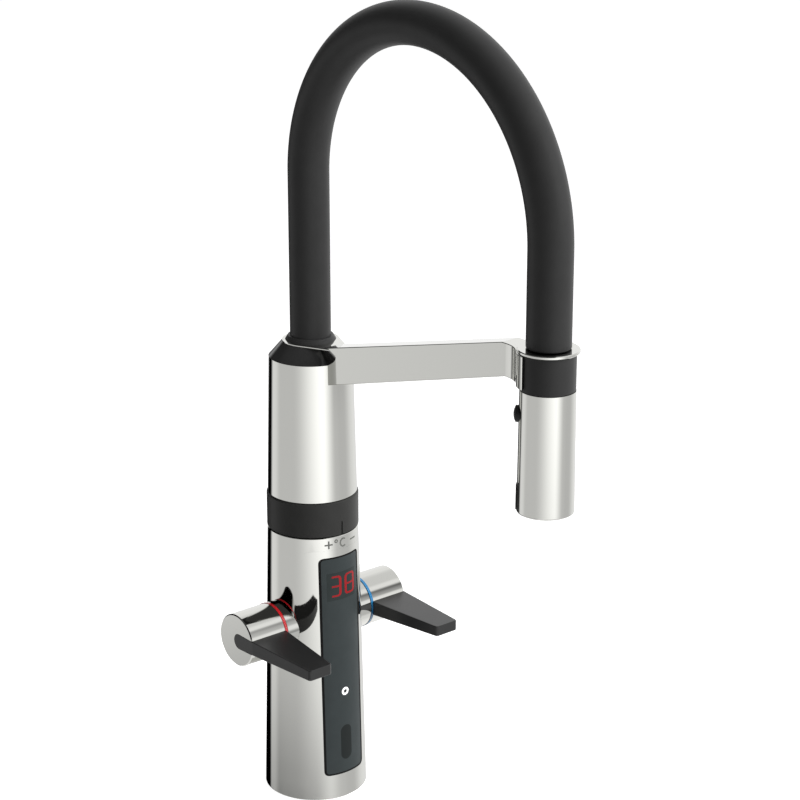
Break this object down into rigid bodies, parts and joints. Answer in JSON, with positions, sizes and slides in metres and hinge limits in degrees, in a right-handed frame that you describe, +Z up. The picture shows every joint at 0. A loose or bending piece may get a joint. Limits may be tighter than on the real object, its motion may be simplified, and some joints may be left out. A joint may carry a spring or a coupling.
{
  "type": "kitchen mixer tap",
  "caption": "Tall kitchen mixer tap: tapering column with side levers, temperature ring and digit panel, and a hose arch to a pull-out spray held by a rigid arm.",
  "frame": {"origin": "centre of the column's foot on the deck, on the axis of the fixing stud's hole", "axes": "+Z up along the column, -Y forward along the arm to the spray, -X to the hot side and +X to the cold side"},
  "size_m": [0.1166, 0.2449, 0.4883],
  "materials": {
    "chrome": "polished chrome plating on brass",
    "black_gloss": "gloss black moulding",
    "ring_coat": "semi-gloss black moulding",
    "lever_coat": "satin black coat on zinc",
    "collar_plastic": "semi-gloss black moulding",
    "hose_rubber": "satin black hose cover",
    "inner_hose": "smooth hose",
    "seal_rubber": "moulded seal rubber",
    "nub_rubber": "soft silicone",
    "grip_rubber": "satin rubber",
    "button_rubber": "satin rubber",
    "panel_plastic": "smoked gloss panel",
    "sensor_lens": "dark infrared window",
    "indicator_lens": "pale light pipe",
    "display": "numeral display",
    "inner_plastic": "moulded nylon",
    "bush_plastic": "acetal bush",
    "circuit_board": "circuit board",
    "brass": "machined brass",
    "steel": "stainless steel",
    "magnet": "nickel-plated magnet",
    "ceramic": "lapped ceramic disc",
    "hot_ring": "red ring",
    "cold_ring": "blue ring"
  },
  "bodies": {
    "column": {"base_seal": "seal_rubber", "lower_body": "chrome", "core_body": "brass", "control_panel": "panel_plastic", "sensor_window": "sensor_lens", "indicator_lens": "indicator_lens", "display_module": "display", "sensor_module": "inner_plastic", "control_board": "circuit_board", "thermostat_cartridge": "inner_plastic", "thermostat_bonnet": "brass", "spout_spigot": "brass", "spigot_screws": "steel", "spigot_retaining_ring": "steel", "hot_hub": "chrome", "hot_headwork": "brass", "hot_fixed_disc": "ceramic", "cold_hub": "chrome", "cold_headwork": "brass", "cold_fixed_disc": "ceramic"},
    "temperature_control": {"temperature_ring": "ring_coat", "ring_driver": "inner_plastic", "thermostat_spindle": "brass"},
    "spout": {"spout_sleeve": "chrome", "support_arm": "chrome", "cone_shroud": "black_gloss", "lower_swivel_bush": "bush_plastic", "upper_swivel_bush": "bush_plastic", "hose_nipple": "brass", "nipple_o_rings": "seal_rubber", "hose_collar": "black_gloss", "hose_cover": "hose_rubber", "inner_hose": "inner_hose", "hose_ferrule": "brass", "dock_magnet": "magnet"},
    "spray_dock": {"spray_flange": "chrome", "spray_collar": "collar_plastic", "swivel_stem": "brass", "dock_plate": "steel"},
    "spray_head": {"spray_body": "chrome", "spray_core": "inner_plastic", "nozzle_plate": "collar_plastic", "nozzle_nubs": "nub_rubber", "aerator": "collar_plastic", "grip_strip": "grip_rubber"},
    "spray_trigger": {"spray_button": "button_rubber", "button_plunger": "steel"},
    "hot_handle": {"hot_knob": "chrome", "hot_lever": "lever_coat", "hot_colour_ring": "hot_ring", "hot_spindle": "brass", "hot_moving_disc": "ceramic", "hot_grub_screw": "steel"},
    "cold_handle": {"cold_knob": "chrome", "cold_lever": "lever_coat", "cold_colour_ring": "cold_ring", "cold_spindle": "brass", "cold_moving_disc": "ceramic", "cold_grub_screw": "steel"}
  },
  "joints": [
    {"name": "spout_swivel", "type": "hinge", "parent": "column", "child": "spout", "pos_m": [0, 0, 0.23], "axis": [0, 0, 1], "range_deg": [-60, 60]},
    {"name": "temperature_turn", "type": "hinge", "parent": "column", "child": "temperature_control", "pos_m": [0, 0, 0.179], "axis": [0, 0, 1], "range_deg": [-30, 30]},
    {"name": "hot_lever_turn", "type": "hinge", "parent": "column", "child": "hot_handle", "pos_m": [-0.045, 0, 0.109], "axis": [-1, 0, 0], "range_deg": [0, 90]},
    {"name": "cold_lever_turn", "type": "hinge", "parent": "column", "child": "cold_handle", "pos_m": [0.045, 0, 0.109], "axis": [-1, 0, 0], "range_deg": [0, 90]},
    {"name": "spray_undock", "type": "slide", "parent": "spout", "child": "spray_dock", "axis": [0, -1, 0], "range_m": [0, 0.04]},
    {"name": "spray_turn", "type": "hinge", "parent": "spray_dock", "child": "spray_head", "pos_m": [0, -0.1975, 0.27], "axis": [0, 0, 1], "continuous": true},
    {"name": "spray_button_press", "type": "slide", "parent": "spray_head", "child": "spray_trigger", "axis": [0.682, -0.7314, 0], "range_m": [0, 0.0015], "stiffness_N_per_m": 500}
  ]
}
